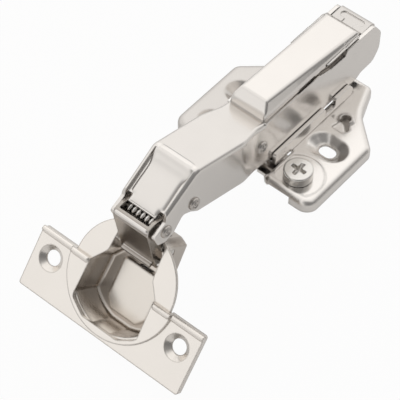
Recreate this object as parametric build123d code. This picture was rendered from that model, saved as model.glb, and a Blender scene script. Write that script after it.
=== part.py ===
from build123d import *
import os
from math import atan2, cos, degrees, hypot, radians, sin

# Concealed cup hinge with its clip-on mounting plate, shown wide open.
# X runs along the arm towards the door, Y across it, Z up from the cabinet side.
# Z is 0 at the face of the mounting plate that lies on the cabinet, and X is 0 at the height screw.
os.makedirs("parts", exist_ok=True)

# Clearances between pieces
RUN_FIT = 0.05
SEAT_FIT = 0.02
NEST_GAP = 0.2
SLIDE_GAP = 0.1

# Adjustments and strokes
HEIGHT_TRAVEL = 2.0
DEPTH_TRAVEL = 2.0
DAMPER_STROKE = 2.5

# Mounting plate
PLATE_SHEET = 1.2
PLATE_HEIGHT = 4.0
PLATE_HALF_WIDTH = 26.2
PLATE_FRONT = 7.5
PLATE_TAIL = -42.4
SLOT_X = -14.4
SLOT_PITCH = 32.0
SLOT_WIDTH = 4.2
SLOT_LENGTH = 5.6
BOWL_WIDTH = 9.4
BOWL_LENGTH = 13.2
BOWL_DEPTH = 2.8
SCREW_Y = 16.0
SEAT_RADIUS = 8.0
SEAT_DEPTH = 0.15
LANCE_X = -26.3
LANCE_Y = 13.7
LANCE_RADIUS = 1.5
LANCE_RISE = 0.8

# Base channel on the plate
BASE_SHEET = 1.2
BASE_FLOOR = 1.0
BASE_FRONT = 1.5
BASE_REAR = -36.0
BASE_WALL_TOP = 8.6
WINDOW_FRONT = -22.5
WINDOW_REAR = -27.4
WINDOW_HALF = 6.6
HOOK_ROOM_REAR = -31.6

# Arm, folded from one sheet
ARM_SHEET = 1.2
ARM_HALF_REAR = 7.2
ARM_HALF_MID = 8.5
ARM_HALF_NOSE = 8.05
SPREAD_START = 9.5
SPREAD_END = 16.5
ARM_END = 60.0
ARM_REAR = -50.4
BEND_RADIUS = 1.6
ARM_TOP_REAR = 24.2
ARM_TOP_FRONT = 24.7
ARM_WEB_START = 5.0
CREASE_X = 36.5
CREASE_Z = 33.7
NOSE_X = 49.3
NOSE_Z = 26.4
TONGUE_X = 51.1
TONGUE_Z = 23.9

# Pins in the side view (X, Z)
FRONT_PIN = (50.0, 19.8)
REAR_PIN = (38.3, 21.2)
FRAME_PIN = (6.5, 16.0)
LEVER_PIN = (-41.0, 14.0)
PIN_RADIUS = 1.3
HEAD_RADIUS = 1.7
HEAD_THICK = 0.35

# Cup, in its own frame: its face is Z 0 and its flange lies towards +X
CUP_OPEN = (59.4, 0.0)
CUP_OPEN_TURN = 51.26
CUP_SHEET = 0.8
CUP_RADIUS = 17.5
CUP_DEPTH = 12.1
RIM_THICK = 0.9
POCKET_REAR = -15.8
POCKET_REAR_HALF = 7.6
POCKET_WAIST_X = -4.7
POCKET_WAIST_HALF = 8.3
POCKET_SIDE_X = 0.0
POCKET_SIDE_HALF = 12.2
POCKET_CHAMFER_X = 12.9
POCKET_FRONT = 16.4
POCKET_FRONT_HALF = 6.5
LINK_PIN_CUP = (-9.0, -3.2)
INNER_PIN_CUP = (-13.4, -3.6)
CUP_PIN_RADIUS = 1.2
CUP_NOTCH_DEPTH = 6.8

# Flange on the cup
FLANGE_SHEET = 1.0
FLANGE_HALF = 30.4
FLANGE_REAR = 0.2
FLANGE_FRONT = 19.8
FLANGE_STEP_RADIUS = 18.76
FLANGE_STEP = 0.9
FLANGE_HOLE_X = 7.75
FLANGE_HOLE_PITCH = 48.0
FLANGE_HOLE_RADIUS = 2.4
FLANGE_SINK_RADIUS = 4.1
FLANGE_DEPTH = 2.0
FLANGE_DISH = 1.6
BEAD_RADIUS = 0.8
BEAD_INNER = 12.0

# Damper on the floor of the cup
DAMPER_TOP = 1.6
DAMPER_REAR = -2.4
DAMPER_ROD_END = 4.8

# Links and spring
LINK_SHEET = 1.0
LINK_HALF = 6.3
LINK_EYE_RADIUS = 1.75
INNER_HALF = 4.4
INNER_EYE_RADIUS = 2.0
PLAY_ALONG = 0.9
PLAY_ACROSS = 2.05
SPRING_WIRE = 0.45
SPRING_RADIUS = 2.2
SPRING_TURNS = 5.25
SPRING_HALF = 4.6

# Nested frames inside the arm
FRAME_SHEET = 1.0
FRAME_TOP = 19.8
CARRIER_TOP = 18.6
CAM_X = -12.0
CAM_PIN_RADIUS = 1.15
SCREW_PIN_RADIUS = 1.6
SLOT_PLAY = 0.45
SIDE_SCREW_X = -24.0
SIDE_SCREW_RADIUS = 1.9

# Cap cover
CAP_FRONT = 4.8
CAP_REAR = -41.2
CAP_SHEET = 0.8
CAP_LOW = 24.95
CAP_CLIPS = [(-39.0, -35.5), (-22.0, -19.0), (-7.0, 2.5)]
CAP_CLIP_REACH = 2.5
CAP_TOP_FRONT = 31.7
CAP_TOP_REAR = 25.9
CAP_HALF_BASE = 6.6
CAP_HALF_TOP_FRONT = 4.8
CAP_HALF_TOP_REAR = 5.6


def rounded_face(corners):
    """closed outline from (u, v, radius) corners, as a face"""
    face = make_face(Polyline(*[(u, v) for u, v, r in corners], close=True))
    for u, v, r in corners:
        if r > 0:
            face = fillet(face.vertices().sort_by_distance((u, v, 0))[0], r)
    return face


def side_sheet(corners, y_low, y_high):
    """sheet standing in the X-Z plane"""
    return Pos(0, y_high, 0) * (Plane.XZ * extrude(rounded_face(corners), y_high - y_low))


def flat_sheet(corners, z_low, z_high):
    """sheet lying in the X-Y plane"""
    return Pos(0, 0, z_low) * extrude(rounded_face(corners), z_high - z_low)


def cross_pin(place, radius, y_low, y_high):
    """round bar along Y through the point (X, Z)"""
    bar = Plane.XZ * extrude(Circle(radius), y_high - y_low)
    return Pos(place[0], y_high, place[1]) * bar


def post(x, y, radius, z_low, z_high):
    """round bar along Z"""
    return Pos(x, y, z_low) * extrude(Circle(radius), z_high - z_low)


def block(x_low, x_high, y_low, y_high, z_low, z_high):
    """rectangular bar between two corners"""
    centre = Pos((x_low + x_high) / 2, (y_low + y_high) / 2, (z_low + z_high) / 2)
    return centre * Box(x_high - x_low, y_high - y_low, z_high - z_low)


def both_sides(corners):
    """outline points of one half, repeated on the other side of Y 0"""
    return corners + [(x, -y, r) for x, y, r in reversed(corners)]


def cup_frame(piece):
    """moves a piece from the cup's own frame to its open position"""
    return Pos(CUP_OPEN[0], 0, CUP_OPEN[1]) * (Rot(0, CUP_OPEN_TURN, 0) * piece)


def out_of_cup(point):
    """(X, Z) in the hinge frame of a point of the open cup"""
    c = cos(radians(CUP_OPEN_TURN))
    s = sin(radians(CUP_OPEN_TURN))
    return (CUP_OPEN[0] + c * point[0] + s * point[1], CUP_OPEN[1] - s * point[0] + c * point[1])


LINK_PIN = out_of_cup(LINK_PIN_CUP)
INNER_PIN = out_of_cup(INNER_PIN_CUP)


def arm_half(x):
    """outer half width of the arm ahead of the place where its walls spread"""
    return ARM_HALF_MID + (ARM_HALF_NOSE - ARM_HALF_MID) * (x - SPREAD_END) / (ARM_END - SPREAD_END)


def bowl(x, y, width, length, depth, grow):
    """slotted countersink pressed into the plate, larger by grow all round"""
    top = SlotOverall(length + 2 * grow, width + 2 * grow, rotation=90)
    foot = SlotOverall(length * 0.55 + 2 * grow, width * 0.55 + 2 * grow, rotation=90)
    low = PLATE_HEIGHT - depth - grow
    return Pos(x, y, 0) * loft([Pos(0, 0, low) * foot, Pos(0, 0, PLATE_HEIGHT) * top])


def plate_outline(inset):
    """butterfly outline, drawn in by inset"""
    half = PLATE_HALF_WIDTH - inset
    corners = [
        (PLATE_FRONT - inset, half, 4.0),
        (-22.4, half, 3.5),
        (-31.5, 15.9 - inset, 9.0),
        (PLATE_TAIL + inset, 11.5 - inset, 2.0),
    ]
    return both_sides(corners)


def make_mounting_plate():
    shell = flat_sheet(plate_outline(0), 0, PLATE_HEIGHT)
    shell = fillet(shell.faces().sort_by(Axis.Z)[-1].edges(), 1.9)
    inside = flat_sheet(plate_outline(PLATE_SHEET), -1, PLATE_HEIGHT - PLATE_SHEET)
    inside = fillet(inside.faces().sort_by(Axis.Z)[-1].edges(), 0.7)
    plate = shell - inside
    places = [(SLOT_X, SLOT_PITCH / 2), (SLOT_X, -SLOT_PITCH / 2)]
    for x, y in places:
        plate += bowl(x, y, BOWL_WIDTH, BOWL_LENGTH, BOWL_DEPTH - 0.6, 0.6)
    plate += bowl(0, -SCREW_Y, BOWL_WIDTH - 1.4, BOWL_LENGTH - 2, BOWL_DEPTH - 0.6, 0.6)
    for x, y in places:
        plate -= bowl(x, y, BOWL_WIDTH, BOWL_LENGTH, BOWL_DEPTH - 0.6, 0)
        plate -= Pos(x, y, -1) * extrude(SlotOverall(SLOT_LENGTH, SLOT_WIDTH, rotation=90), 6)
    plate -= bowl(0, -SCREW_Y, BOWL_WIDTH - 1.4, BOWL_LENGTH - 2, BOWL_DEPTH - 0.6, 0)
    plate -= post(0, -SCREW_Y, SLOT_WIDTH / 2, -1, PLATE_HEIGHT + 1)
    plate -= post(0, SCREW_Y, 2.2, -1, PLATE_HEIGHT + 1)
    plate -= block(HOOK_ROOM_REAR, -20.0, -8.4, 8.4, -1, PLATE_HEIGHT + 1)
    plate -= block(-6.5, 6.0, -9.0, 9.0, -1, PLATE_HEIGHT + 1)
    plate -= block(6.0, 10.0, -9.9, 9.9, -1, PLATE_HEIGHT + 1)
    plate -= block(5.5, 10.0, -18.5, 18.5, -1, PLATE_HEIGHT - PLATE_SHEET)
    seat = post(0, SCREW_Y, SEAT_RADIUS, PLATE_HEIGHT - SEAT_DEPTH, PLATE_HEIGHT + 1)
    plate -= seat & block(-SEAT_RADIUS, PLATE_FRONT - 2.5, 10.0, PLATE_HALF_WIDTH - 2.2, 0, 9)
    return lanced_stop(plate)


def lanced_stop(plate):
    """raised eye with a pointed tongue, cut and pressed up from the right wing"""
    eye = Pos(LANCE_X, LANCE_Y, PLATE_HEIGHT - 0.2)
    wide = LANCE_RADIUS + 1.4
    base = (Align.CENTER, Align.CENTER, Align.MIN)
    plate += eye * Cone(wide, LANCE_RADIUS + 0.5, LANCE_RISE + 0.2, align=base)
    plate -= post(LANCE_X, LANCE_Y, LANCE_RADIUS, -1, PLATE_HEIGHT + 2)
    front = LANCE_X + 4.9
    gap = [
        (LANCE_X + 0.8, LANCE_Y - 1.2, 0),
        (LANCE_X + 2.2, LANCE_Y - 1.3, 0),
        (front, LANCE_Y - 1.9, 0.4),
        (front, LANCE_Y + 2.5, 0.4),
        (LANCE_X + 2.8, LANCE_Y + 3.2, 0.5),
        (LANCE_X + 0.4, LANCE_Y + 1.3, 0),
    ]
    plate -= flat_sheet(gap, PLATE_HEIGHT - 0.35, PLATE_HEIGHT + 2)
    slit = [
        (LANCE_X + 0.8, LANCE_Y + 0.6, 0),
        (LANCE_X + 1.7, LANCE_Y + 0.6, 0),
        (LANCE_X + 3.6, LANCE_Y + 2.7, 0.4),
        (LANCE_X + 2.8, LANCE_Y + 3.2, 0.4),
        (LANCE_X + 0.4, LANCE_Y + 1.3, 0),
    ]
    return plate - flat_sheet(slit, -1, PLATE_HEIGHT + 2)


def make_base_channel():
    outer = ARM_HALF_REAR + NEST_GAP + BASE_SHEET
    inner = ARM_HALF_REAR + NEST_GAP
    floor_low = PLATE_HEIGHT + SLIDE_GAP
    floor_top = floor_low + BASE_FLOOR
    wall = [
        (BASE_FRONT, floor_low, 0.8),
        (BASE_FRONT, BASE_WALL_TOP, 0.6),
        (WINDOW_FRONT, BASE_WALL_TOP, 0.8),
        (WINDOW_FRONT, floor_top + 0.2, 0.4),
        (WINDOW_REAR, floor_top + 0.2, 1.4),
        (WINDOW_REAR, BASE_WALL_TOP, 0.8),
        (BASE_REAR, BASE_WALL_TOP, 2.5),
        (BASE_REAR, floor_low, 1.0),
    ]
    channel = side_sheet(wall, -outer, outer)
    channel -= block(BASE_REAR - 1, BASE_FRONT + 1, -inner, inner, floor_top, BASE_WALL_TOP + 1)
    channel -= block(HOOK_ROOM_REAR, WINDOW_FRONT, -WINDOW_HALF, WINDOW_HALF, 0, floor_top + 1)
    ear_low = PLATE_HEIGHT - PLATE_SHEET - SLIDE_GAP - 1.2
    ear_top = PLATE_HEIGHT - PLATE_SHEET - SLIDE_GAP
    channel += block(-5.0, BASE_FRONT - 1, 4.6, 5.8, ear_low, floor_low + 0.1)
    ear = flat_sheet([(-5, 4.6, 0), (5, 4.6, 0), (5, 21.0, 2.5), (-5, 21.0, 2.5)], ear_low, ear_top)
    reach = HEIGHT_TRAVEL + SCREW_PIN_RADIUS + RUN_FIT
    cross = SlotOverall(2 * reach, 2 * (SCREW_PIN_RADIUS + SLOT_PLAY))
    channel += ear - Pos(0, SCREW_Y, 0) * extrude(cross, floor_top)
    return channel


def make_height_screw():
    ear_low = PLATE_HEIGHT - PLATE_SHEET - SLIDE_GAP - 1.2
    head = post(0, SCREW_Y, 4.5, PLATE_HEIGHT + 0.1, 7.2)
    head = fillet(head.edges().sort_by(Axis.Z)[-1], 0.5)
    taper = Cone(1.0, 2.6, 2.3, align=(Align.CENTER, Align.CENTER, Align.MAX))
    cross = (Box(5.4, 1.3, 6) + Box(1.3, 5.4, 6) + Cylinder(1.15, 6)) & taper
    head -= Pos(0, SCREW_Y, 7.2) * cross
    screw = head + post(0, SCREW_Y, 2.2 - RUN_FIT, ear_low + 1.2, PLATE_HEIGHT + 0.2)
    screw += post(HEIGHT_TRAVEL, SCREW_Y, SCREW_PIN_RADIUS, ear_low - 0.3, ear_low + 1.3)
    return screw


def make_clip_carrier():
    outer = 4.2
    floor_top = PLATE_HEIGHT + SLIDE_GAP + BASE_FLOOR
    wall = [
        (4.6, floor_top + 5, 1.0),
        (4.6, 2.2, 1.0),
        (0.6, 2.2, 0.5),
        (0.6, 3.2, 0),
        (2.0, 3.2, 0),
        (2.0, floor_top + 0.02, 0),
        (-34.0, floor_top + 0.02, 2.0),
        (-38.0, 11.4, 2.0),
        (-43.5, 11.4, 2.4),
        (-43.5, 16.6, 2.4),
        (-34.0, 16.6, 3.0),
        (-30.0, CARRIER_TOP, 2.0),
        (0.0, CARRIER_TOP, 2.0),
    ]
    carrier = side_sheet(wall, -outer, outer)
    inner = outer - FRAME_SHEET
    carrier -= block(-50, 10, -inner, inner, 0, CARRIER_TOP - FRAME_SHEET)
    carrier -= block(-50, -30, -inner, inner, 0, 30)
    carrier -= cross_pin(LEVER_PIN, PIN_RADIUS + SEAT_FIT, -10, 10)
    room = SIDE_SCREW_RADIUS + DEPTH_TRAVEL + 0.4
    carrier -= block(SIDE_SCREW_X - room, SIDE_SCREW_X + room, -2.6, 2.6, 10, 30)
    reach = DEPTH_TRAVEL + CAM_PIN_RADIUS + RUN_FIT
    cross = SlotOverall(2 * reach, 2 * (CAM_PIN_RADIUS + SLOT_PLAY), rotation=90)
    return carrier - Pos(CAM_X, 0, 10) * extrude(cross, 20)


def make_slide_frame():
    outer = 5.6
    wall = [
        (9.5, 12.5, 3.0),
        (9.5, 19.3, 2.5),
        (2.0, FRAME_TOP, 1.0),
        (-28.0, FRAME_TOP, 2.0),
        (-35.5, 15.0, 2.0),
        (-35.5, 7.2, 1.0),
        (3.5, 7.2, 2.0),
    ]
    frame = side_sheet(wall, -outer, outer)
    inner = outer - FRAME_SHEET
    frame -= block(-40, 12, -inner, inner, 0, FRAME_TOP - FRAME_SHEET)
    frame -= block(3.0, 12, -inner, inner, 0, 30)
    frame -= cross_pin(FRAME_PIN, PIN_RADIUS + SEAT_FIT, -10, 10)
    frame -= post(CAM_X, 0, 2.4, 10, 30)
    return frame - post(SIDE_SCREW_X, 0, SIDE_SCREW_RADIUS + RUN_FIT, 10, 30)


def make_depth_cam():
    cam = post(CAM_X, 0, 4.2, FRAME_TOP + SLIDE_GAP, FRAME_TOP + 1.5)
    cam -= Pos(CAM_X, 0, FRAME_TOP + 1.5) * (Box(4.0, 1.0, 1.6) + Box(1.0, 4.0, 1.6))
    cam += post(CAM_X, 0, 2.4 - RUN_FIT, CARRIER_TOP + 0.1, FRAME_TOP + 0.2)
    return cam + post(CAM_X, DEPTH_TRAVEL, CAM_PIN_RADIUS, CARRIER_TOP - 1.6, CARRIER_TOP + 0.2)


def make_side_screw():
    screw = post(SIDE_SCREW_X, 0, SIDE_SCREW_RADIUS, 14.0, 22.4)
    screw += post(SIDE_SCREW_X, 0, 3.0, FRAME_TOP + SLIDE_GAP, 21.0)
    return screw - Pos(SIDE_SCREW_X, 0, 22.4) * (Box(3.0, 0.8, 1.6) + Box(0.8, 3.0, 1.6))


def make_frame_pin():
    length = ARM_HALF_REAR + RUN_FIT
    pin = cross_pin(FRAME_PIN, PIN_RADIUS, -length, length)
    pin += cross_pin(FRAME_PIN, HEAD_RADIUS, length, length + HEAD_THICK)
    return pin + cross_pin(FRAME_PIN, HEAD_RADIUS, -length - HEAD_THICK, -length)


def arm_plan(inset):
    """half widths of the arm along its length, seen from above"""
    return both_sides([
        (-60, ARM_HALF_REAR - inset, 0),
        (SPREAD_START, ARM_HALF_REAR - inset, 12.0),
        (SPREAD_END, ARM_HALF_MID - inset, 12.0),
        (ARM_END, ARM_HALF_NOSE - inset, 0),
    ])


def arm_roof(drop):
    """side view of all that lies under the folded top of the arm, lowered by drop"""
    rise = (CREASE_Z - ARM_TOP_FRONT) / (CREASE_X - ARM_WEB_START)
    fall = (CREASE_Z - NOSE_Z) / (NOSE_X - CREASE_X)
    low_start = ARM_TOP_FRONT - 5 * rise - drop
    low_end = CREASE_Z - fall * (60 - CREASE_X) - drop
    return [
        (ARM_WEB_START - 5, 0, 0),
        (ARM_WEB_START - 5, low_start, 0),
        (CREASE_X, CREASE_Z - drop, 3.0),
        (60, low_end, 0),
        (60, 0, 0),
    ]


def make_arm():
    wall = [
        (-47.0, ARM_TOP_REAR - 0.4, 2.0),
        (-33.6, ARM_TOP_REAR, 0.6),
        (-32.4, ARM_TOP_REAR - 1.9, 0.8),
        (-25.5, ARM_TOP_REAR - 1.6, 1.5),
        (-20.0, ARM_TOP_REAR, 1.5),
        (ARM_WEB_START, ARM_TOP_FRONT, 0),
        (CREASE_X, CREASE_Z, 3.0),
        (NOSE_X, NOSE_Z, 1.2),
        (50.2, 23.4, 1.0),
        (55.2, 21.2, 1.2),
        (53.6, 17.0, 1.5),
        (50.5, 15.6, 1.5),
        (46.8, 16.6, 1.0),
        (43.0, 20.6, 1.5),
        (39.8, 19.0, 1.5),
        (36.7, 16.4, 3.0),
        (21.2, 11.8, 8.0),
        (8.7, 8.0, 3.0),
        (1.0, 6.8, 0),
        (-36.0, 7.2, 0.5),
        (-39.0, 6.6, 0.8),
        (-41.5, 8.0, 0.8),
        (-47.5, 8.2, 3.0),
        (ARM_REAR, 12.0, 5.0),
        (ARM_REAR, 19.0, 4.0),
    ]
    plan = flat_sheet(arm_plan(0), 0, 45)
    blank = side_sheet(arm_roof(0), -12, 12) & plan
    bends = []
    for edge in blank.edges():
        middle = edge.center()
        along = edge % 0.5
        if abs(middle.Y) > 6 and middle.Z > 16 and abs(along.Z) < 0.9 and 0.1 < middle.X < 59.9:
            bends.append(edge)
    blank = fillet(bends, BEND_RADIUS) - block(-60, ARM_WEB_START, -12, 12, -1, 50)
    blank += plan & block(-60, ARM_WEB_START, -12, 12, 0, 45)
    outer = side_sheet(wall, -12, 12) & blank
    room = side_sheet(arm_roof(ARM_SHEET * 1.05), -12, 12) - block(-60, ARM_WEB_START, -12, 12, -1, 50)
    room += block(-60, ARM_WEB_START, -12, 12, 0, 45)
    room &= flat_sheet(arm_plan(ARM_SHEET), 0, 45)
    arm = outer - room
    arm -= block(CREASE_X + 0.5, 60, -ARM_HALF_NOSE + ARM_SHEET, ARM_HALF_NOSE - ARM_SHEET, 22.0, 45)
    tongue_half = ARM_HALF_NOSE - ARM_SHEET - 0.05
    tongue = [
        (CREASE_X - 1.0, CREASE_Z - 0.9, 0),
        (CREASE_X + 0.2, CREASE_Z - 0.9, 0.4),
        (CREASE_X + 1.5, CREASE_Z - 2.15, 1.2),
        (TONGUE_X, TONGUE_Z, 0.4),
        (TONGUE_X - 0.7, TONGUE_Z - ARM_SHEET, 0),
        (CREASE_X + 0.2, CREASE_Z - 0.9 - 1.2 * ARM_SHEET, 1.0),
        (CREASE_X - 1.0, CREASE_Z - 0.9 - 1.2 * ARM_SHEET, 0),
    ]
    arm += side_sheet(tongue, -tongue_half - 0.1, tongue_half + 0.1)
    for side in (-1, 1):
        y_low = min(side * 4.9, side * 7.0)
        y_high = max(side * 4.9, side * 7.0)
        arm -= block(TONGUE_X - 2.2, TONGUE_X + 1, y_low, y_high, TONGUE_Z - 2.6, TONGUE_Z + 1.9)
    arm -= cross_pin(FRONT_PIN, PIN_RADIUS + SEAT_FIT, -12, 12)
    arm -= cross_pin(REAR_PIN, PIN_RADIUS + SEAT_FIT, -12, 12)
    return arm - cross_pin(FRAME_PIN, PIN_RADIUS + RUN_FIT, -12, 12)


def arm_rivet(place):
    """riveted pin through both walls of the arm, with low heads"""
    half = arm_half(place[0] - HEAD_RADIUS)
    pin = cross_pin(place, PIN_RADIUS, -half - SEAT_FIT, half + SEAT_FIT)
    pin += cross_pin(place, HEAD_RADIUS, half, half + HEAD_THICK)
    return pin + cross_pin(place, HEAD_RADIUS, -half - HEAD_THICK, -half)


def make_lever_pin():
    return cross_pin(LEVER_PIN, PIN_RADIUS, -4.4, 4.4)


def make_release_lever():
    top = ARM_TOP_REAR - 0.5
    shape = [
        (-48.4, top, 2.0),
        (-41.8, top, 0.4),
        (-41.8, top - 1.3, 0.3),
        (-43.6, top - 1.3, 0.6),
        (-43.9, 17.6, 2.0),
        (-38.4, 16.4, 2.0),
        (-37.0, 11.6, 2.0),
        (-27.5, 8.6, 3.0),
        (-23.4, 4.0, 0.3),
        (-21.7, 4.0, 0.3),
        (-21.9, 2.7, 0.3),
        (-25.4, 2.7, 1.0),
        (-28.6, 5.6, 3.0),
        (-40.0, 9.6, 2.0),
        (-47.8, 10.6, 3.0),
        (-49.4, 17.0, 6.0),
    ]
    half = ARM_HALF_REAR - ARM_SHEET - NEST_GAP
    lever = side_sheet(shape, -half, half)
    narrow = 4.2 - FRAME_SHEET - NEST_GAP
    for side in (-1, 1):
        y_low = min(side * narrow, side * (half + 1))
        y_high = max(side * narrow, side * (half + 1))
        lever -= block(-44.2, -20, y_low, y_high, 0, 17.5)
    lever -= block(-47.8, -44.0, -half + 1.2, half - 1.2, 5, top - 1.3)
    lever -= block(-44.1, -26, -narrow + 1.0, narrow - 1.0, 5, 30)
    lever += block(-45.0, -42.2, -half, half, top - 1.3, top - 0.4)
    press = SlotOverall(8.6, 2.6, rotation=90)
    lever -= Pos(-45.2, 0, top - 0.4) * extrude(press, 2)
    return lever - cross_pin(LEVER_PIN, PIN_RADIUS + RUN_FIT, -10, 10)


def coil(place, radius, wire, half, turns):
    """wound spring along Y round a pin"""
    pitch = 2 * (half - wire) / turns
    path = Helix(pitch, 2 * (half - wire), radius)
    section = Plane(origin=path @ 0, z_dir=path % 0) * Circle(wire)
    wound = sweep(section, path=path)
    return Pos(place[0], half - wire, place[1]) * (Rot(90, 0, 0) * wound)


def make_lever_spring():
    return coil(LEVER_PIN, PIN_RADIUS + 0.5, 0.3, 1.6, 3)


def make_closing_spring():
    return coil(FRONT_PIN, SPRING_RADIUS, SPRING_WIRE, SPRING_HALF, SPRING_TURNS)


def make_outer_link():
    eye_x = LINK_PIN[0]
    eye_z = LINK_PIN[1]
    cheek = [
        (FRONT_PIN[0] - 3.4, FRONT_PIN[1] + 2.6, 2.5),
        (FRONT_PIN[0] + 2.5, FRONT_PIN[1] + 4.3, 1.0),
        (55.3, 23.6, 0.8),
        (55.9, 21.2, 1.0),
        (eye_x + LINK_EYE_RADIUS, eye_z + 0.3, 0),
        (eye_x - LINK_EYE_RADIUS, eye_z + 0.3, 0),
        (eye_x - 1.45, eye_z + 2.4, 0),
        (eye_x - 1.5, eye_z + 7.6, 1.5),
        (FRONT_PIN[0] - 3.2, FRONT_PIN[1] - 3.2, 1.5),
    ]
    link = side_sheet(cheek, -LINK_HALF, LINK_HALF)
    inner = LINK_HALF - LINK_SHEET
    room = [
        (FRONT_PIN[0] - 9.0, FRONT_PIN[1] + 9.0, 0),
        (54.3, FRONT_PIN[1] + 9.0, 0),
        (54.3, 23.0, 0),
        (54.8, 21.0, 0),
        (eye_x + 0.9, eye_z + 1.0, 0),
        (eye_x - 9.0, eye_z + 1.0, 0),
    ]
    link -= side_sheet(room, -inner, inner)
    link += cross_pin(LINK_PIN, LINK_EYE_RADIUS, -LINK_HALF, LINK_HALF)
    curl = [
        (eye_x + 1.2, eye_z - 0.3, 0),
        (eye_x + 1.2, eye_z + 1.2, 0),
        (eye_x + 3.0, eye_z + 0.7, 0.5),
        (eye_x + 2.9, eye_z - 0.5, 0.5),
    ]
    link += side_sheet(curl, -inner, inner)
    link -= cross_pin(FRONT_PIN, PIN_RADIUS + RUN_FIT, -12, 12)
    return link - cross_pin(LINK_PIN, CUP_PIN_RADIUS + RUN_FIT, -12, 12)


def make_inner_link():
    dx = INNER_PIN[0] - REAR_PIN[0]
    dz = INNER_PIN[1] - REAR_PIN[1]
    length = hypot(dx, dz)
    angle = degrees(atan2(dz, dx))
    strip = [
        (0, 2.4, 0),
        (length - 5.0, 0.8, 4.0),
        (length, 0.8, 0),
        (length, -INNER_EYE_RADIUS, 0),
        (length - 6.0, -2.4, 3.0),
        (0, -3.0, 0),
    ]
    body = rounded_face(strip) + Pos(length, 0) * Circle(INNER_EYE_RADIUS)
    wide = 2 * (PIN_RADIUS + RUN_FIT) + PLAY_ALONG
    tall = 2 * (PIN_RADIUS + RUN_FIT) + PLAY_ACROSS + 0.4
    body += Pos(PLAY_ALONG / 3, PLAY_ACROSS / 2) * SlotOverall(tall + 2.6, wide + 2.2, rotation=90)
    slot = Pos(PLAY_ALONG / 3, PLAY_ACROSS / 2) * SlotOverall(tall, wide, rotation=90)
    link = extrude(body - slot, 2 * INNER_HALF)
    link = Pos(REAR_PIN[0], INNER_HALF, REAR_PIN[1]) * (Plane.XZ * (Rot(0, 0, angle) * link))
    return link - cross_pin(INNER_PIN, CUP_PIN_RADIUS + RUN_FIT, -12, 12)


def pocket_outline(grow):
    """mouth of the pocket, larger by grow all round"""
    half = [
        (POCKET_FRONT + grow, POCKET_FRONT_HALF + 0.4 * grow, 1.5),
        (POCKET_CHAMFER_X + 0.6 * grow, POCKET_SIDE_HALF + grow, 2.0),
        (POCKET_SIDE_X, POCKET_SIDE_HALF - 0.4 + grow, 1.5),
        (POCKET_WAIST_X - 0.4 * grow, POCKET_WAIST_HALF + grow, 3.0),
        (POCKET_REAR - grow, POCKET_REAR_HALF + grow, 2.0),
    ]
    return both_sides(half)


def pocket(grow, z_low, z_high, corner):
    """solid block that fills the pocket out to grow beyond its inside"""
    prism = flat_sheet(pocket_outline(grow), z_low, z_high)
    prism = fillet(prism.faces().sort_by(Axis.Z)[0].edges(), corner)
    drum = post(0, 0, CUP_RADIUS - CUP_SHEET + grow, z_low, z_high)
    return prism & fillet(drum.edges().sort_by(Axis.Z)[0], corner)


def make_cup():
    rim_low = -FLANGE_SHEET
    cup = post(0, 0, CUP_RADIUS, rim_low, rim_low + RIM_THICK)
    cup += pocket(CUP_SHEET, -CUP_DEPTH, rim_low + 0.3, 1.8)
    cup -= pocket(0, -CUP_DEPTH + CUP_SHEET, 2, 1.0)
    cup -= block(-20, -14, -INNER_HALF - 0.4, INNER_HALF + 0.4, -CUP_NOTCH_DEPTH, 1)
    for place in (LINK_PIN_CUP, INNER_PIN_CUP):
        cup -= cross_pin(place, CUP_PIN_RADIUS + SEAT_FIT, -12, 12)
    return cup_frame(cup)


def rolled_bead(side, y_near, y_far, z_middle):
    """rolled rear edge of the flange from y_near to y_far, with a round near end"""
    x = FLANGE_REAR + BEAD_RADIUS
    start = y_near + BEAD_RADIUS
    y_low = min(side * start, side * y_far)
    y_high = max(side * start, side * y_far)
    bead = cross_pin((x, z_middle), BEAD_RADIUS, y_low, y_high)
    return bead + Pos(x, side * start, z_middle) * Sphere(BEAD_RADIUS)


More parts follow.
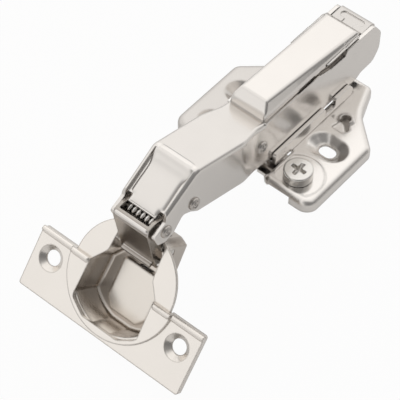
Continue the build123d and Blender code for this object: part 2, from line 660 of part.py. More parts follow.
def make_cup_flange():
    low = -FLANGE_SHEET
    outline = both_sides([(FLANGE_FRONT, FLANGE_HALF, 0.8), (FLANGE_REAR, FLANGE_HALF, 0.8)])
    flange = flat_sheet(outline, -FLANGE_DEPTH, 0)
    inside = both_sides([
        (FLANGE_FRONT - FLANGE_SHEET, FLANGE_HALF - FLANGE_SHEET, 0.3),
        (FLANGE_REAR + FLANGE_SHEET, FLANGE_HALF - FLANGE_SHEET, 0.3),
    ])
    flange -= flat_sheet(inside, -FLANGE_DEPTH - 1, low)
    flange -= post(0, 0, FLANGE_STEP_RADIUS - FLANGE_SHEET, -FLANGE_DEPTH - 1, 1)
    centre = post(0, 0, FLANGE_STEP_RADIUS, low, FLANGE_STEP)
    centre -= post(0, 0, CUP_RADIUS + 0.1, low - 1, FLANGE_STEP - FLANGE_SHEET)
    centre &= block(FLANGE_REAR, FLANGE_FRONT, -FLANGE_HALF, FLANGE_HALF, low, FLANGE_STEP + 1)
    flange += centre
    flange -= flat_sheet(pocket_outline(0), -5, 5)
    for side in (-1, 1):
        y = side * FLANGE_HOLE_PITCH / 2
        flange += rolled_bead(side, FLANGE_STEP_RADIUS - 1.2, FLANGE_HALF, low + BEAD_RADIUS)
        flange += rolled_bead(side, BEAD_INNER, FLANGE_STEP_RADIUS - 0.2, low + BEAD_RADIUS + FLANGE_STEP)
        hang = (Align.CENTER, Align.CENTER, Align.MAX)
        wall = 0.7
        boss = Cone(FLANGE_HOLE_RADIUS + wall, FLANGE_SINK_RADIUS + wall, FLANGE_DEPTH - 0.3, align=hang)
        dish = Cone(FLANGE_HOLE_RADIUS, FLANGE_SINK_RADIUS, FLANGE_DISH, align=hang)
        flange += Pos(FLANGE_HOLE_X, y, -0.3) * boss
        flange -= Pos(FLANGE_HOLE_X, y, 0) * dish
        flange -= post(FLANGE_HOLE_X, y, FLANGE_HOLE_RADIUS, -5, 5)
    return cup_frame(flange)


def make_damper_cover():
    floor = -CUP_DEPTH + CUP_SHEET
    outline = both_sides([
        (14.3, 4.9, 1.0),
        (11.2, 7.5, 1.8),
        (DAMPER_REAR, 7.8, 1.5),
    ])
    cover = flat_sheet(outline, floor + SEAT_FIT, floor + DAMPER_TOP)
    cover = fillet(cover.faces().sort_by(Axis.Z)[-1].edges(), 0.8)
    cover -= block(-1.6, 10.4, -6.7, 6.7, floor, floor + DAMPER_TOP - 0.5)
    cover -= block(-4, 0, -2.4, 2.4, floor, floor + DAMPER_TOP - 0.5)
    return cup_frame(cover)


def make_damper_body():
    floor = -CUP_DEPTH + CUP_SHEET
    body = block(4.0, 10.3, -6.6, 6.6, floor + SEAT_FIT, floor + DAMPER_TOP - 0.55)
    body -= block(3.9, DAMPER_ROD_END + DAMPER_STROKE + 0.4, -2.1, 2.1, floor - 1, floor + 3)
    return cup_frame(body)


def make_damper_slider():
    floor = -CUP_DEPTH + CUP_SHEET
    top = floor + DAMPER_TOP - 0.65
    slider = block(DAMPER_REAR + 0.2, DAMPER_ROD_END, -1.9, 1.9, floor + 0.1, top)
    return cup_frame(slider)


def make_cup_pin(place):
    half = POCKET_REAR_HALF + CUP_SHEET + 0.1
    return cup_frame(cross_pin(place, CUP_PIN_RADIUS, -half, half))


def cap_section(x, half_low, half_top, z_low, z_side, z_top):
    """cross section of the cap at one place along the arm"""
    points = [
        (x, -half_low, z_low),
        (x, half_low, z_low),
        (x, half_low, z_side),
        (x, half_top, z_top),
        (x, -half_top, z_top),
        (x, -half_low, z_side),
    ]
    return make_face(Polyline(*points, close=True))


def cap_body(thin):
    """tapered block of the cap, drawn in by thin all round"""
    low = CAP_LOW - 5 * thin
    shoulder = ARM_TOP_FRONT + 2.2
    half_front = CAP_HALF_TOP_FRONT - thin
    half_rear = CAP_HALF_TOP_REAR - thin
    half_base = CAP_HALF_BASE - thin
    top_rear = CAP_TOP_REAR - thin
    top_front = CAP_TOP_FRONT - thin
    top_tip = shoulder + 0.4 - thin
    rear = cap_section(CAP_REAR + thin, half_rear + 0.3, half_rear, low, CAP_LOW + 0.1, top_rear)
    front = cap_section(CAP_FRONT - 1.8 - thin, half_base, half_front, low, shoulder, top_front)
    tip = cap_section(CAP_FRONT - thin, half_base - 0.4, half_front, low, shoulder - 0.6, top_tip)
    return loft([rear, front], ruled=True) + loft([front, tip], ruled=True)


def make_cap_cover():
    cap = cap_body(0) - cap_body(CAP_SHEET)
    half = ARM_HALF_REAR - ARM_SHEET - RUN_FIT
    for side in (-1, 1):
        y_low = min(side * half, side * (half - CAP_SHEET))
        y_high = max(side * half, side * (half - CAP_SHEET))
        for x_low, x_high in CAP_CLIPS:
            cap += block(x_low, x_high, y_low, y_high, CAP_LOW - CAP_CLIP_REACH, CAP_LOW + 0.6)
    return cap


pieces = {
    "mounting_plate": make_mounting_plate(),
    "height_screw": make_height_screw(),
    "base_channel": make_base_channel(),
    "clip_carrier": make_clip_carrier(),
    "lever_spring": make_lever_spring(),
    "slide_frame": make_slide_frame(),
    "depth_cam": make_depth_cam(),
    "side_screw": make_side_screw(),
    "frame_pin": make_frame_pin(),
    "arm": make_arm(),
    "cap_cover": make_cap_cover(),
    "release_lever": make_release_lever(),
    "lever_pin": make_lever_pin(),
    "front_pin": arm_rivet(FRONT_PIN),
    "rear_pin": arm_rivet(REAR_PIN),
    "closing_spring": make_closing_spring(),
    "outer_link": make_outer_link(),
    "inner_link": make_inner_link(),
    "cup": make_cup(),
    "cup_flange": make_cup_flange(),
    "cup_link_pin": make_cup_pin(LINK_PIN_CUP),
    "cup_inner_pin": make_cup_pin(INNER_PIN_CUP),
    "damper_cover": make_damper_cover(),
    "damper_body": make_damper_body(),
    "damper_slider": make_damper_slider(),
}

for name, piece in pieces.items():
    export_step(piece, f"parts/{name}.step")
    print(name, round(piece.volume, 1), len(piece.solids()))
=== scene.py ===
import math

import bmesh
import bpy
from mathutils import Matrix, Vector


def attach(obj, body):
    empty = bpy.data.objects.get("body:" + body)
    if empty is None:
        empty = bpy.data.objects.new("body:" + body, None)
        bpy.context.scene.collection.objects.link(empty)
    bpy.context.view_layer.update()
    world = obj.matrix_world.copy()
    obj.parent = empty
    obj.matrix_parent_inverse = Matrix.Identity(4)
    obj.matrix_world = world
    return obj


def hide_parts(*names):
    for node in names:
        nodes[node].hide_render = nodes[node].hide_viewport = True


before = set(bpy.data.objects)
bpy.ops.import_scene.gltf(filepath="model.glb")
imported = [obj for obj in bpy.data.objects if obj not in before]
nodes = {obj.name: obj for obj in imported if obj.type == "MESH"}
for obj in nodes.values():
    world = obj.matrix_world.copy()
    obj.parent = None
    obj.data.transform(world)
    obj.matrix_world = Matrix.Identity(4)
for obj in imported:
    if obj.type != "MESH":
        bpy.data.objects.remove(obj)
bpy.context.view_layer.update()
scene = bpy.context.scene
scene.view_settings.view_transform = "Standard"

# Camera
# A long lens looks down on the hinge from above its door side, at the angle and distance of a
# product photograph.
CAMERA_PLACE = (0.29606, 0.22288, 0.44476)
CAMERA_TURN = (38.4774, -0.5052, 130.1344)
lens = bpy.data.cameras.new("product lens")
lens.sensor_width = 36.0
lens.lens = 174.39
lens.clip_start = 0.05
camera = bpy.data.objects.new("product camera", lens)
camera.location = CAMERA_PLACE
camera.rotation_euler = [math.radians(turn) for turn in CAMERA_TURN]
scene.collection.objects.link(camera)
scene.camera = camera

# Studio
# The hinge hangs just clear of a white floor, under a large soft box and a smaller one at the
# door side. The sky is even, but for a few grey cards whose reflections shape the metal.
FLOOR_Z = -0.0215
FLOOR_HALF = 3.0
FLOOR_WHITE_SEEN = 0.96
FLOOR_WHITE_IN_METAL = 0.32
SKY_WHITE_SEEN = 1.0
SKY_WHITE_IN_METAL = 0.12
SKY_LIGHT = 1.03
# name, direction, where the card starts and is full (as cosines), and how much light it takes
DARK_CARDS = (
    ("card over the door edge", (0.48, 0.42, 0.77), 0.78, 0.96, 0.80),
    ("card beside the arm", (-0.25, 0.93, 0.20), 0.55, 0.92, 0.85),
    ("card low on the door's right", (0.68, 0.72, 0.12), 0.74, 0.96, 0.85),
    ("tone low on the door's left", (0.87, -0.40, 0.25), 0.70, 0.98, 0.20),
    ("card below the horizon", (0.0, 0.0, -1.0), -0.15, 0.35, 0.45),
)
# name, place, side of the square, watts
SOFT_BOXES = (
    ("overhead box", (-0.40, -0.33, 0.65), 0.50, 0.15),
    ("door side box", (0.75, -0.34, 0.26), 0.40, 0.07),
)
SOFT_BOX_AIM = Vector((0.01, 0, 0.01))


def show_white(tree, lit, white, seen_share, metal_share):
    """plain white in place of the lit backdrop, for the camera and in part for reflections"""
    path = tree.nodes.new("ShaderNodeLightPath")
    seen = tree.nodes.new("ShaderNodeMath")
    seen.operation = "MULTIPLY"
    seen.inputs[1].default_value = seen_share
    shiny = tree.nodes.new("ShaderNodeMath")
    shiny.operation = "ADD"
    share = tree.nodes.new("ShaderNodeMath")
    share.operation = "MULTIPLY_ADD"
    share.inputs[1].default_value = metal_share
    mix = tree.nodes.new("ShaderNodeMixShader")
    tree.links.new(path.outputs["Is Camera Ray"], seen.inputs[0])
    tree.links.new(path.outputs["Is Glossy Ray"], shiny.inputs[0])
    tree.links.new(path.outputs["Is Transmission Ray"], shiny.inputs[1])
    tree.links.new(shiny.outputs[0], share.inputs[0])
    tree.links.new(seen.outputs[0], share.inputs[2])
    tree.links.new(share.outputs[0], mix.inputs["Fac"])
    tree.links.new(lit.outputs[0], mix.inputs[1])
    tree.links.new(white.outputs[0], mix.inputs[2])
    return mix.outputs[0]


floor_paper = bpy.data.materials.new("white paper")
floor_paper.use_nodes = True
tree = floor_paper.node_tree
tree.nodes.clear()
paper_lit = tree.nodes.new("ShaderNodeBsdfDiffuse")
paper_lit.inputs["Color"].default_value = (0.66, 0.645, 0.63, 1)
paper_white = tree.nodes.new("ShaderNodeEmission")
paper_white.inputs["Color"].default_value = (1, 1, 1, 1)
paper_white.inputs["Strength"].default_value = 1.0
paper_out = tree.nodes.new("ShaderNodeOutputMaterial")
paper_shown = show_white(tree, paper_lit, paper_white, FLOOR_WHITE_SEEN, FLOOR_WHITE_IN_METAL)
tree.links.new(paper_shown, paper_out.inputs["Surface"])

floor_corners = [(x * FLOOR_HALF, y * FLOOR_HALF, FLOOR_Z) for x, y in ((-1, -1), (1, -1), (1, 1), (-1, 1))]
floor_mesh = bpy.data.meshes.new("studio_floor")
floor_mesh.from_pydata(floor_corners, [], [(0, 1, 2, 3)])
floor_mesh.materials.append(floor_paper)
floor = bpy.data.objects.new("studio_floor", floor_mesh)
scene.collection.objects.link(floor)

world = bpy.data.worlds.new("studio sky")
scene.world = world
world.use_nodes = True
tree = world.node_tree
tree.nodes.clear()
sky_white = tree.nodes.new("ShaderNodeBackground")
sky_white.inputs["Color"].default_value = (1, 1, 1, 1)
sky_grade = tree.nodes.new("ShaderNodeBackground")
sky_grade.inputs["Color"].default_value = (1.0, 0.985, 0.965, 1)
sky_where = tree.nodes.new("ShaderNodeTexCoord")
sky_level = tree.nodes.new("ShaderNodeValue")
sky_level.outputs[0].default_value = SKY_LIGHT
level = sky_level.outputs[0]
for name, towards, edge, core, depth in DARK_CARDS:
    facing = tree.nodes.new("ShaderNodeVectorMath")
    facing.operation = "DOT_PRODUCT"
    facing.inputs[1].default_value = Vector(towards).normalized()
    tree.links.new(sky_where.outputs["Generated"], facing.inputs[0])
    card = tree.nodes.new("ShaderNodeMapRange")
    card.label = name
    card.interpolation_type = "SMOOTHSTEP"
    card.inputs["From Min"].default_value = edge
    card.inputs["From Max"].default_value = core
    card.inputs["To Min"].default_value = 1.0
    card.inputs["To Max"].default_value = 1.0 - depth
    tree.links.new(facing.outputs["Value"], card.inputs["Value"])
    shaded = tree.nodes.new("ShaderNodeMath")
    shaded.operation = "MULTIPLY"
    tree.links.new(level, shaded.inputs[0])
    tree.links.new(card.outputs["Result"], shaded.inputs[1])
    level = shaded.outputs[0]
tree.links.new(level, sky_grade.inputs["Strength"])
sky_out = tree.nodes.new("ShaderNodeOutputWorld")
sky_shown = show_white(tree, sky_grade, sky_white, SKY_WHITE_SEEN, SKY_WHITE_IN_METAL)
tree.links.new(sky_shown, sky_out.inputs["Surface"])

for name, place, size, watts in SOFT_BOXES:
    lamp = bpy.data.lights.new(name, "AREA")
    lamp.shape = "SQUARE"
    lamp.size = size
    lamp.energy = watts
    box = bpy.data.objects.new(name, lamp)
    box.location = place
    box.rotation_euler = (SOFT_BOX_AIM - Vector(place)).to_track_quat("-Z", "Y").to_euler()
    scene.collection.objects.link(box)

# Mounting plate
# The plate is cold-rolled steel, pressed with a turned-down rim, then barrel-plated with satin
# nickel: a soft cloudy sheen, fine rolling lines and a little polish on its edges, with painted shade
# darkening the edges and the left side.
PLATE_NICKEL = (0.82, 0.79, 0.76)
# painted shade: the plate is graded darker towards its left, and its rounded edges get a dark tone
PLATE_PAINTED_SHADE_LEFT = (0.62, 0.595, 0.57)
PLATE_RIM_PAINTED_SHADE = (0.60, 0.56, 0.52)
PLATE_RIM_RADIUS = 0.0011
PLATE_GRADE_START = 0.006
PLATE_GRADE_END = -0.014
SHEET_LINES = 1.0


def satin_nickel_group():
    """cloudy tone, rolling lines and edge polish of barrel-plated nickel, with an edge tone that is wear
    where it is lighter and painted shade where it is darker
    """
    group = bpy.data.node_groups.new("satin nickel", "ShaderNodeTree")
    sockets = (
        ("Base", "NodeSocketColor", "INPUT"),
        ("Edge Wear And Shade", "NodeSocketColor", "INPUT"),
        ("Roughness", "NodeSocketFloat", "INPUT"),
        ("Line Depth", "NodeSocketFloat", "INPUT"),
        ("Edge Radius", "NodeSocketFloat", "INPUT"),
        ("Colour", "NodeSocketColor", "OUTPUT"),
        ("Roughness", "NodeSocketFloat", "OUTPUT"),
        ("Height", "NodeSocketFloat", "OUTPUT"),
        ("Soft Normal", "NodeSocketVector", "OUTPUT"),
    )
    for name, kind, side in sockets:
        group.interface.new_socket(name=name, in_out=side, socket_type=kind)
    add = group.nodes.new
    link = group.links.new
    given = add("NodeGroupInput")
    made = add("NodeGroupOutput")
    where = add("ShaderNodeTexCoord")

    cloud = add("ShaderNodeTexNoise")
    cloud.inputs["Scale"].default_value = 130.0
    cloud.inputs["Detail"].default_value = 4.0
    link(where.outputs["Object"], cloud.inputs["Vector"])
    stretch = add("ShaderNodeMapping")
    stretch.inputs["Scale"].default_value = (60.0, 1500.0, 700.0)
    link(where.outputs["Object"], stretch.inputs["Vector"])
    lines = add("ShaderNodeTexNoise")
    lines.inputs["Scale"].default_value = 1.0
    lines.inputs["Detail"].default_value = 3.0
    link(stretch.outputs["Vector"], lines.inputs["Vector"])

    soft_edge = add("ShaderNodeBevel")
    soft_edge.samples = 4
    link(given.outputs["Edge Radius"], soft_edge.inputs["Radius"])
    flat = add("ShaderNodeNewGeometry")
    turned = add("ShaderNodeVectorMath")
    turned.operation = "DOT_PRODUCT"
    link(soft_edge.outputs["Normal"], turned.inputs[0])
    link(flat.outputs["Normal"], turned.inputs[1])
    edge_wear_and_shade = add("ShaderNodeMapRange")
    edge_wear_and_shade.inputs["From Min"].default_value = 0.985
    edge_wear_and_shade.inputs["From Max"].default_value = 0.86
    link(turned.outputs["Value"], edge_wear_and_shade.inputs["Value"])

    # edge tone: wear where the given colour is lighter than the base, painted shade where it is darker
    edge_wear_and_shade_colour = add("ShaderNodeMix")
    edge_wear_and_shade_colour.data_type = "RGBA"
    link(edge_wear_and_shade.outputs["Result"], edge_wear_and_shade_colour.inputs["Factor"])
    link(given.outputs["Base"], edge_wear_and_shade_colour.inputs[6])
    link(given.outputs["Edge Wear And Shade"], edge_wear_and_shade_colour.inputs[7])
    shade = add("ShaderNodeMapRange")
    shade.inputs["To Min"].default_value = 0.96
    shade.inputs["To Max"].default_value = 1.03
    link(cloud.outputs["Fac"], shade.inputs["Value"])
    tone = add("ShaderNodeMix")
    tone.data_type = "RGBA"
    tone.blend_type = "MULTIPLY"
    tone.inputs["Factor"].default_value = 1.0
    link(edge_wear_and_shade_colour.outputs[2], tone.inputs[6])
    link(shade.outputs["Result"], tone.inputs[7])
    link(tone.outputs[2], made.inputs["Colour"])

    mottle = add("ShaderNodeMapRange")
    mottle.inputs["To Min"].default_value = -0.025
    mottle.inputs["To Max"].default_value = 0.025
    link(cloud.outputs["Fac"], mottle.inputs["Value"])
    rough = add("ShaderNodeMath")
    rough.operation = "ADD"
    link(given.outputs["Roughness"], rough.inputs[0])
    link(mottle.outputs["Result"], rough.inputs[1])
    polish = add("ShaderNodeMath")
    polish.operation = "MULTIPLY_ADD"
    polish.inputs[1].default_value = -0.08
    link(edge_wear_and_shade.outputs["Result"], polish.inputs[0])
    link(rough.outputs[0], polish.inputs[2])
    link(polish.outputs[0], made.inputs["Roughness"])

    depth = add("ShaderNodeMath")
    depth.operation = "MULTIPLY"
    link(lines.outputs["Fac"], depth.inputs[0])
    link(given.outputs["Line Depth"], depth.inputs[1])
    link(depth.outputs[0], made.inputs["Height"])
    link(soft_edge.outputs["Normal"], made.inputs["Soft Normal"])
    return group


nickel_group = satin_nickel_group()


def nickel(name, base, edge_wear_and_shade, roughness, line_depth=SHEET_LINES, edge_radius=0.0004):
    """nickel-plated steel of one tone"""
    material = bpy.data.materials.new(name)
    material.use_nodes = True
    tree = material.node_tree
    shader = tree.nodes["Principled BSDF"]
    shader.inputs["Metallic"].default_value = 1.0
    finish = tree.nodes.new("ShaderNodeGroup")
    finish.node_tree = nickel_group
    finish.inputs["Base"].default_value = (*base, 1)
    finish.inputs["Edge Wear And Shade"].default_value = (*edge_wear_and_shade, 1)
    finish.inputs["Roughness"].default_value = roughness
    finish.inputs["Line Depth"].default_value = line_depth
    finish.inputs["Edge Radius"].default_value = edge_radius
    bump = tree.nodes.new("ShaderNodeBump")
    bump.inputs["Strength"].default_value = 0.02
    bump.inputs["Distance"].default_value = 0.00002
    tree.links.new(finish.outputs["Colour"], shader.inputs["Base Color"])
    tree.links.new(finish.outputs["Roughness"], shader.inputs["Roughness"])
    tree.links.new(finish.outputs["Height"], bump.inputs["Height"])
    tree.links.new(finish.outputs["Soft Normal"], bump.inputs["Normal"])
    tree.links.new(bump.outputs["Normal"], shader.inputs["Normal"])
    return material


def graded_nickel(name, tones, edge_wear_and_shade, roughness, edge_radius, along, start, end):
    """nickel that goes from the first tone to the second between two places along a direction"""
    material = nickel(name, tones[0], edge_wear_and_shade, roughness, SHEET_LINES, edge_radius)
    tree = material.node_tree
    where = tree.nodes.new("ShaderNodeTexCoord")
    reached = tree.nodes.new("ShaderNodeVectorMath")
    reached.operation = "DOT_PRODUCT"
    reached.inputs[1].default_value = along
    grade = tree.nodes.new("ShaderNodeMapRange")
    grade.interpolation_type = "SMOOTHSTEP"
    grade.inputs["From Min"].default_value = start
    grade.inputs["From Max"].default_value = end
    shade = tree.nodes.new("ShaderNodeMix")
    shade.data_type = "RGBA"
    shade.inputs[6].default_value = (*tones[0], 1)
    shade.inputs[7].default_value = (*tones[1], 1)
    tree.links.new(where.outputs["Object"], reached.inputs[0])
    tree.links.new(reached.outputs["Value"], grade.inputs["Value"])
    tree.links.new(grade.outputs["Result"], shade.inputs["Factor"])
    tree.links.new(shade.outputs[2], tree.nodes["Group"].inputs["Base"])
    return material


def finish_nodes(material, *names):
    """give solids of the frame their finish"""
    for name in names:
        part = nodes[name]
        part.data.materials.clear()
        part.data.materials.append(material)


plate_nickel = graded_nickel(
    "plate nickel",
    (PLATE_NICKEL, PLATE_PAINTED_SHADE_LEFT),
    PLATE_RIM_PAINTED_SHADE,
    0.19,
    PLATE_RIM_RADIUS,
    (0, 1, 0),
    PLATE_GRADE_START,
    PLATE_GRADE_END,
)
finish_nodes(plate_nickel, "mounting_plate")
sheet_nickel = nickel("satin nickel sheet", (0.80, 0.77, 0.74), (0.92, 0.90, 0.88), 0.20)
# painted shade: a dark nickel for pieces that sit in shade, the lanced stop, the cap's skirts and the inner
# link
deep_painted_shade_nickel = nickel("nickel darkened deep with painted shade", (0.30, 0.275, 0.25), (0.7, 0.67, 0.64), 0.3, SHEET_LINES, 0.0008)

# Lanced stop and guide tabs
# The plate's stop is lanced down from its right wing, and two tabs at its front edge are bent
# up beside the opening that the base channel slides in. All are part of the plate's sheet.
STOP_SIDES = (0.0118, 0.0172)
STOP_LINE = ((-0.0281, 0.0026), (-0.0262, 0.0022), (-0.0224, 0.0012))
STOP_THICK = 0.0005
TAB_ENDS = (0.0056, 0.0073)
TAB_LINE = ((0.0104, 0.0020), (0.0094, 0.0026), (0.0091, 0.0046))
TAB_THICK = 0.0006
SIDES = ((1, "right"), (-1, "left"))


def new_piece(name, verts, faces, material, smooth=False):
    """mesh piece of one material, linked to the scene"""
    mesh = bpy.data.meshes.new(name)
    mesh.from_pydata(verts, [], faces)
    mesh.polygons.foreach_set("use_smooth", [smooth] * len(faces))
    mesh.materials.append(material)
    piece = bpy.data.objects.new(name, mesh)
    scene.collection.objects.link(piece)
    return piece


def bent_strip(name, corners, thick, material):
    """strip through rows of corner pairs, with softly sheared edges, that rides on the plate"""
    rows = len(corners) // 2
    faces = [(2 * row, 2 * row + 2, 2 * row + 3, 2 * row + 1) for row in range(rows - 1)]
    piece = new_piece(name, corners, faces, material)
    sheet = piece.modifiers.new("sheet", "SOLIDIFY")
    sheet.thickness = thick
    sheet.offset = 0
    sheared = piece.modifiers.new("sheared edge", "BEVEL")
    sheared.width = 0.00015
    sheared.segments = 2
    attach(piece, "plate")


stop_corners = [(x, y, z) for x, z in STOP_LINE for y in STOP_SIDES]
# the lanced stop takes the dark nickel of painted shade
bent_strip("lanced_stop", stop_corners, STOP_THICK, deep_painted_shade_nickel)
for side, word in SIDES:
    tab_corners = [(x, side * y, z) for y, z in TAB_LINE for x in TAB_ENDS]
    bent_strip(f"guide_tab_{word}", tab_corners, TAB_THICK, sheet_nickel)

# Base channel, clip and release lever
# The channel on the plate, the clip that the arm snaps on and the frame under the arm are bent
# sheet; the clip and the frame, shut in under the arm, are darkened with painted shade. The lever is a bent
# and embossed sheet too.
finish_nodes(sheet_nickel, "base_channel")
# painted shade: a darker nickel for the clip, the frame and the outer link, which lie in shade
painted_shade_nickel = nickel("nickel darkened with painted shade", (0.46, 0.425, 0.39), (0.85, 0.82, 0.79), 0.26)
finish_nodes(painted_shade_nickel, "clip_carrier", "slide_frame")
lever_nickel = nickel("lever nickel", (0.64, 0.615, 0.59), (0.85, 0.82, 0.79), 0.22)
finish_nodes(lever_nickel, "release_lever")

# Arm, with the fold at its crease
# The arm is one folded channel of sheet. Its web is drawn over the crease in one broad round,
# and drops in a soft step to the lower panel that covers the closing spring.
FOLD_SECTIONS = (  # x, height and half width
    (0.0350, 0.03336, 0.0066),
    (0.0360, 0.03362, 0.0068),
    (0.0369, 0.03350, 0.0069),
    (0.0377, 0.03295, 0.0069),
    (0.0386, 0.03205, 0.0067),
    (0.0395, 0.03115, 0.0063),
    (0.0405, 0.03045, 0.0060),
    (0.0417, 0.02972, 0.0059),
    (0.0440, 0.02838, 0.0060),
    (0.0478, 0.02615, 0.0061),
    (0.0484, 0.02580, 0.0060),
    (0.0487, 0.02562, 0.0050),
    (0.0500, 0.02486, 0.0049),
    (0.0507, 0.02430, 0.0049),
)
FOLD_STEPS = 16
FOLD_LIFT = 0.00006
FOLD_CROWN = 0.0004
finish_nodes(sheet_nickel, "arm")
fold_verts = []
for x, z, half in FOLD_SECTIONS:
    for step in range(FOLD_STEPS + 1):
        across = 2 * step / FOLD_STEPS - 1
        fold_verts.append((x, half * across, z + FOLD_LIFT - FOLD_CROWN * abs(across) ** 8))
fold_faces = []
for section in range(len(FOLD_SECTIONS) - 1):
    for step in range(FOLD_STEPS):
        a = section * (FOLD_STEPS + 1) + step
        fold_faces.append((a, a + FOLD_STEPS + 1, a + FOLD_STEPS + 2, a + 1))
fold = new_piece("arm_fold", fold_verts, fold_faces, sheet_nickel, smooth=True)
round_over = fold.modifiers.new("drawn round", "SUBSURF")
round_over.levels = 2
round_over.render_levels = 2
fold_sheet = fold.modifiers.new("sheet", "SOLIDIFY")
fold_sheet.thickness = 0.0007
fold_sheet.offset = -1
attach(fold, "arm")

# Cap cover
# The cap is one pressing with a long tapering top, a sloped front and a short upright lip, with
# well rounded corners. Two skirts fold down from it and clip inside the walls of the arm.
CAP_LOW = 0.02495
CAP_TAPER = (  # each at the cap's rear and at its front
    (0.0065, 0.0066),  # half width at the foot
    (0.0056, 0.0047),  # half width at the top
    (0.0257, 0.0269),  # height of the shoulder
    (0.0266, 0.0304),  # height of the top
)
CAP_SECTIONS = (  # x, and how far the foot is lifted clear of the arm's wall
    (-0.0392, 0.0005),
    (-0.0332, 0.0003),
    (-0.0326, 0.0005),
    (-0.0240, 0.0005),
    (-0.0234, 0.0),
    (-0.0186, 0.0),
    (-0.0180, 0.0006),
    (-0.0110, 0.0006),
    (-0.0104, 0.0),
    (0.0019, 0.0),
)
CAP_SIDES = 6
CAP_REAR_X = CAP_SECTIONS[0][0]
CAP_FRONT_X = CAP_SECTIONS[-1][0]
# x, half width and height
CAP_LIP_FOOT = (0.00530, 0.0065, 0.02484)
CAP_LIP_TOP = (0.0043, 0.0062, 0.0276)
CAP_REAR_FOOT = (-0.0402, 0.0063, 0.0259)
CAP_CORNER = 0.0008
CAP_CORNER_ANGLE = math.radians(14)
CAP_FINE_SHARE = 0.3
CAP_FINE_BEHIND = -0.0385
cap_verts = []
for x, lift in CAP_SECTIONS:
    part_way = (x - CAP_REAR_X) / (CAP_FRONT_X - CAP_REAR_X)
    half_low, half_top, shoulder, top = (rear + (front - rear) * part_way for rear, front in CAP_TAPER)
    foot = CAP_LOW + lift
    cap_verts += [(x, -half_low, foot), (x, -half_low, shoulder), (x, -half_top, top)]
    cap_verts += [(x, half_top, top), (x, half_low, shoulder), (x, half_low, foot)]
first_end = len(cap_verts)
for x, half, z in (CAP_LIP_FOOT, CAP_LIP_TOP, CAP_REAR_FOOT):
    cap_verts += [(x, -half, z), (x, half, z)]
cap_faces = []
for section in range(len(CAP_SECTIONS) - 1):
    for corner in range(CAP_SIDES - 1):
        a = CAP_SIDES * section + corner
        cap_faces.append((a, a + CAP_SIDES, a + CAP_SIDES + 1, a + 1))
last = CAP_SIDES * (len(CAP_SECTIONS) - 1)
low_left, low_right, lip_left, lip_right, rear_left, rear_right = range(first_end, first_end + 6)
cap_faces += [
    (last, low_left, lip_left, last + 1),
    (last + 1, lip_left, last + 2),
    (last + 2, lip_left, lip_right, last + 3),
    (last + 3, lip_right, last + 4),
    (last + 4, lip_right, low_right, last + 5),
    (low_left, low_right, lip_right, lip_left),
    (0, 1, rear_left),
    (1, 2, rear_left),
    (2, 3, rear_right, rear_left),
    (3, 4, rear_right),
    (4, 5, rear_right),
]
cap = new_piece("pressed_cap", cap_verts, cap_faces, sheet_nickel, smooth=True)
cap_shape = bmesh.new()
cap_shape.from_mesh(cap.data)
corner_size = cap_shape.edges.layers.float.new("bevel_weight_edge")
for edge in cap_shape.edges:
    if edge.calc_face_angle(0.0) > CAP_CORNER_ANGLE:
        fine = max(vert.co.x for vert in edge.verts) < CAP_FINE_BEHIND
        edge[corner_size] = CAP_FINE_SHARE if fine else 1.0
cap_shape.to_mesh(cap.data)
cap_shape.free()
corners = cap.modifiers.new("pressed corners", "BEVEL")
corners.width = CAP_CORNER
corners.segments = 5
corners.limit_method = "WEIGHT"
corners.use_clamp_overlap = False
corners.harden_normals = True
skin = cap.modifiers.new("sheet", "SOLIDIFY")
skin.thickness = 0.0006
skin.offset = -1
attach(cap, "arm")
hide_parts("cap_cover")

SKIRT_FACES_OUT_IN = (0.00594, 0.0053)
SKIRT_OUTLINE = ((-0.0392, 0.0252), (-0.0388, 0.0218), (0.0015, 0.0218), (0.0020, 0.0252))
for side, word in SIDES:
    skirt_verts = [(x, side * y, z) for x, z in SKIRT_OUTLINE for y in SKIRT_FACES_OUT_IN]
    skirt_faces = [(0, 2, 4, 6), (7, 5, 3, 1), (0, 1, 3, 2), (2, 3, 5, 4), (4, 5, 7, 6), (6, 7, 1, 0)]
    # painted shade: the skirts take the dark nickel so the slits in the arm's walls look shaded
    skirt = new_piece(f"cap_skirt_{word}", skirt_verts, skirt_faces, deep_painted_shade_nickel)
    edge = skirt.modifiers.new("sheared edge", "BEVEL")
    edge.width = 0.0001
    edge.segments = 2
    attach(skirt, "arm")

# Pins, screws and rivet heads
# The pins and adjusting screws are turned or headed steel with a brighter nickel plate. The
# arm's pins are spun over at both ends, with a ring left by the riveting tool and a dimple.
bright_nickel = nickel("bright nickel", (0.74, 0.72, 0.69), (0.9, 0.88, 0.86), 0.2, 0.4)
finish_nodes(bright_nickel, "height_screw", "depth_cam", "side_screw")
finish_nodes(bright_nickel, "frame_pin", "lever_pin", "front_pin", "rear_pin")
finish_nodes(bright_nickel, "cup_link_pin", "cup_inner_pin")
# painted shade: the rivet heads get a darker nickel for the shade in their undercut and rings
rivet_steel_painted_shade = nickel("spun rivet steel darkened with painted shade", (0.56, 0.53, 0.50), (0.8, 0.77, 0.74), 0.18, 0.4)
RING_STEPS = 40
FRONT_PIN = (0.0500, 0.0198)
RIVETS = (  # name, x and height of the pin, and half the width between its heads
    ("front_rivet", *FRONT_PIN, 0.00808),
    ("rear_rivet", 0.0383, 0.0212, 0.00830),
    ("frame_rivet", 0.0065, 0.0160, 0.00715),
)
HEAD_RINGS = (  # radius and height
    (0.00205, 0.0),
    (0.00205, 0.00016),
    (0.00190, 0.00058),
    (0.00160, 0.00080),
    (0.00132, 0.00074),
    (0.00120, 0.00020),
    (0.00094, 0.00020),
    (0.00084, 0.00072),
    (0.00062, 0.00080),
    (0.00044, 0.00066),
    (0.00034, 0.00008),
)


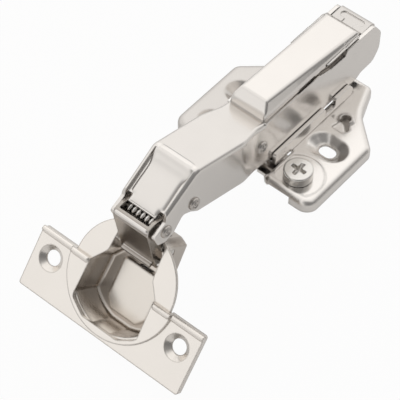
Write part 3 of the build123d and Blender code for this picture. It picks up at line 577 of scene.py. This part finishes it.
def turned_piece(name, rings, place, material, body):
    """closed round piece from (radius, height) rings, with its axis along Z of the place"""
    verts = []
    for radius, height in rings:
        for step in range(RING_STEPS):
            turn = 2 * math.pi * step / RING_STEPS
            verts.append(place @ Vector((radius * math.cos(turn), radius * math.sin(turn), height)))
    faces = []
    for ring in range(len(rings) - 1):
        for step in range(RING_STEPS):
            a = ring * RING_STEPS + step
            b = ring * RING_STEPS + (step + 1) % RING_STEPS
            faces.append((a, b, b + RING_STEPS, a + RING_STEPS))
    faces.append(tuple(reversed(range(RING_STEPS))))
    faces.append(tuple(range((len(rings) - 1) * RING_STEPS, len(rings) * RING_STEPS)))
    piece = new_piece(name, verts, faces, material)
    piece.data.polygons.foreach_set("use_smooth", [len(face) == 4 for face in faces])
    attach(piece, body)


for name, x, z, half in RIVETS:
    for side, word in SIDES:
        outwards = Matrix.Rotation(math.radians(-90 * side), 4, "X")
        place = Matrix.Translation((x, side * half, z)) @ outwards
        turned_piece(f"{name}_{word}", HEAD_RINGS, place, rivet_steel_painted_shade, "arm")

# Links
# Both links are folded from plated sheet, are less polished than the arm, and are darkened with painted
# shade. The top edge of the outer link is rolled over, so that the bare cut of the sheet is out of sight.
finish_nodes(painted_shade_nickel, "outer_link")
finish_nodes(deep_painted_shade_nickel, "inner_link")
HEM_RADIUS = 0.0010
HEM_X = 0.0550
HEM_Z = 0.0225
HEM_HALF = 0.0063
DOME_STEPS = 7
DOME_STEP_ANGLE = 15
DOME_TIP = 0.00002


def rolled_edge(name, radius, start, end, material, body):
    """round roll from start to end, with domed ends"""
    length = (Vector(end) - Vector(start)).length
    dome = []
    for step in range(DOME_STEPS):
        turn = math.radians(DOME_STEP_ANGLE * step)
        dome.append((max(radius * math.sin(turn), DOME_TIP), radius * (1 - math.cos(turn))))
    rings = dome + [(ring, length - inset) for ring, inset in reversed(dome)]
    lie = (Vector(end) - Vector(start)).to_track_quat("Z", "X").to_matrix().to_4x4()
    turned_piece(name, rings, Matrix.Translation(start) @ lie, material, body)


hem_left, hem_right = ((HEM_X, side * HEM_HALF, HEM_Z) for side in (-1, 1))
rolled_edge("link_hem", HEM_RADIUS, hem_left, hem_right, sheet_nickel, "outer")

# Cup and wing plate
# The cup is deep-drawn steel, darkened with painted shade down in the draw and on its edges, and
# sits in a stamped wing plate. The rear edges of the wings and of the cup's disc are rolled over.
CUP_X = 0.0594
CUP_AXIS = (0.7800, 0.0, 0.6257)
CUP_FACE = CUP_X * CUP_AXIS[0]
CUP_MOUTH_DEPTH = 0.0012
CUP_DRAW_DEPTH = 0.0042
CUP_NICKEL = (0.86, 0.82, 0.775)
# painted shade: the cup is graded darker down its draw, and its edges get a dark tone
CUP_PAINTED_SHADE_DEEP = (0.64, 0.59, 0.54)
CUP_EDGE_PAINTED_SHADE = (0.40, 0.365, 0.33)
ROLL_RADIUS = 0.00105
ROLL_X = 0.0012
ROLLS = (  # name, how far out it starts and ends, and its height over the wing plate's face
    ("flange_roll", 0.0170, 0.0304, -0.0005),
    ("disc_roll", 0.0119, 0.0186, 0.0004),
)
cup_nickel = graded_nickel(
    "drawn cup nickel with painted shade",
    (CUP_NICKEL, CUP_PAINTED_SHADE_DEEP),
    CUP_EDGE_PAINTED_SHADE,
    0.21,
    0.0006,
    CUP_AXIS,
    CUP_FACE - CUP_MOUTH_DEPTH,
    CUP_FACE - CUP_DRAW_DEPTH,
)
finish_nodes(cup_nickel, "cup", "cup_flange")
along, _, up = CUP_AXIS
CUP_PLACE = Matrix(((up, 0, along, CUP_X), (0, 1, 0, 0), (-along, 0, up, 0), (0, 0, 0, 1)))
for side, word in SIDES:
    for name, inner, outer, height in ROLLS:
        start = CUP_PLACE @ Vector((ROLL_X, side * inner, height))
        end = CUP_PLACE @ Vector((ROLL_X, side * outer, height))
        rolled_edge(f"{name}_{word}", ROLL_RADIUS, start, end, cup_nickel, "cup")

# Damper
# The damper's body and its slider are moulded in grey acetal, and sit on the floor of the cup
# under a pressed cover.
cover_nickel = nickel("cover nickel", (0.80, 0.755, 0.70), (0.9, 0.87, 0.84), 0.25, SHEET_LINES, 0.0008)
finish_nodes(cover_nickel, "damper_cover")
damper_grey = bpy.data.materials.new("grey acetal")
damper_grey.use_nodes = True
damper_grey.node_tree.nodes["Principled BSDF"].inputs["Base Color"].default_value = (0.1, 0.1, 0.105, 1)
finish_nodes(damper_grey, "damper_body", "damper_slider")

# Springs
# The closing spring is wound from hard-drawn wire round the front pin, between the cheeks of
# the outer link. The small lever spring is the same wire, and both are bare and bright.
spring_wire = nickel("drawn spring wire", (0.84, 0.82, 0.80), (0.9, 0.88, 0.86), 0.2, 0.3)
finish_nodes(spring_wire, "lever_spring")
COIL_RADIUS = 0.0023
COIL_WIRE = 0.00055
COIL_TURNS = 5.6
COIL_HALF = 0.0044
COIL_STEPS = 24
coil_curve = bpy.data.curves.new("closing_coil", "CURVE")
coil_curve.dimensions = "3D"
coil_curve.bevel_depth = COIL_WIRE
coil_curve.bevel_resolution = 4
coil_curve.use_fill_caps = True
coil_count = int(COIL_TURNS * COIL_STEPS)
coil_line = coil_curve.splines.new("POLY")
coil_line.points.add(coil_count)
for step, point in enumerate(coil_line.points):
    turn = 2 * math.pi * step / COIL_STEPS
    x = FRONT_PIN[0] + COIL_RADIUS * math.cos(turn)
    y = COIL_HALF * (2 * step / coil_count - 1)
    z = FRONT_PIN[1] + COIL_RADIUS * math.sin(turn)
    point.co = (x, y, z, 1)
coil_curve.materials.append(spring_wire)
coil = bpy.data.objects.new("closing_coil", coil_curve)
scene.collection.objects.link(coil)
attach(coil, "arm")
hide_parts("closing_spring")
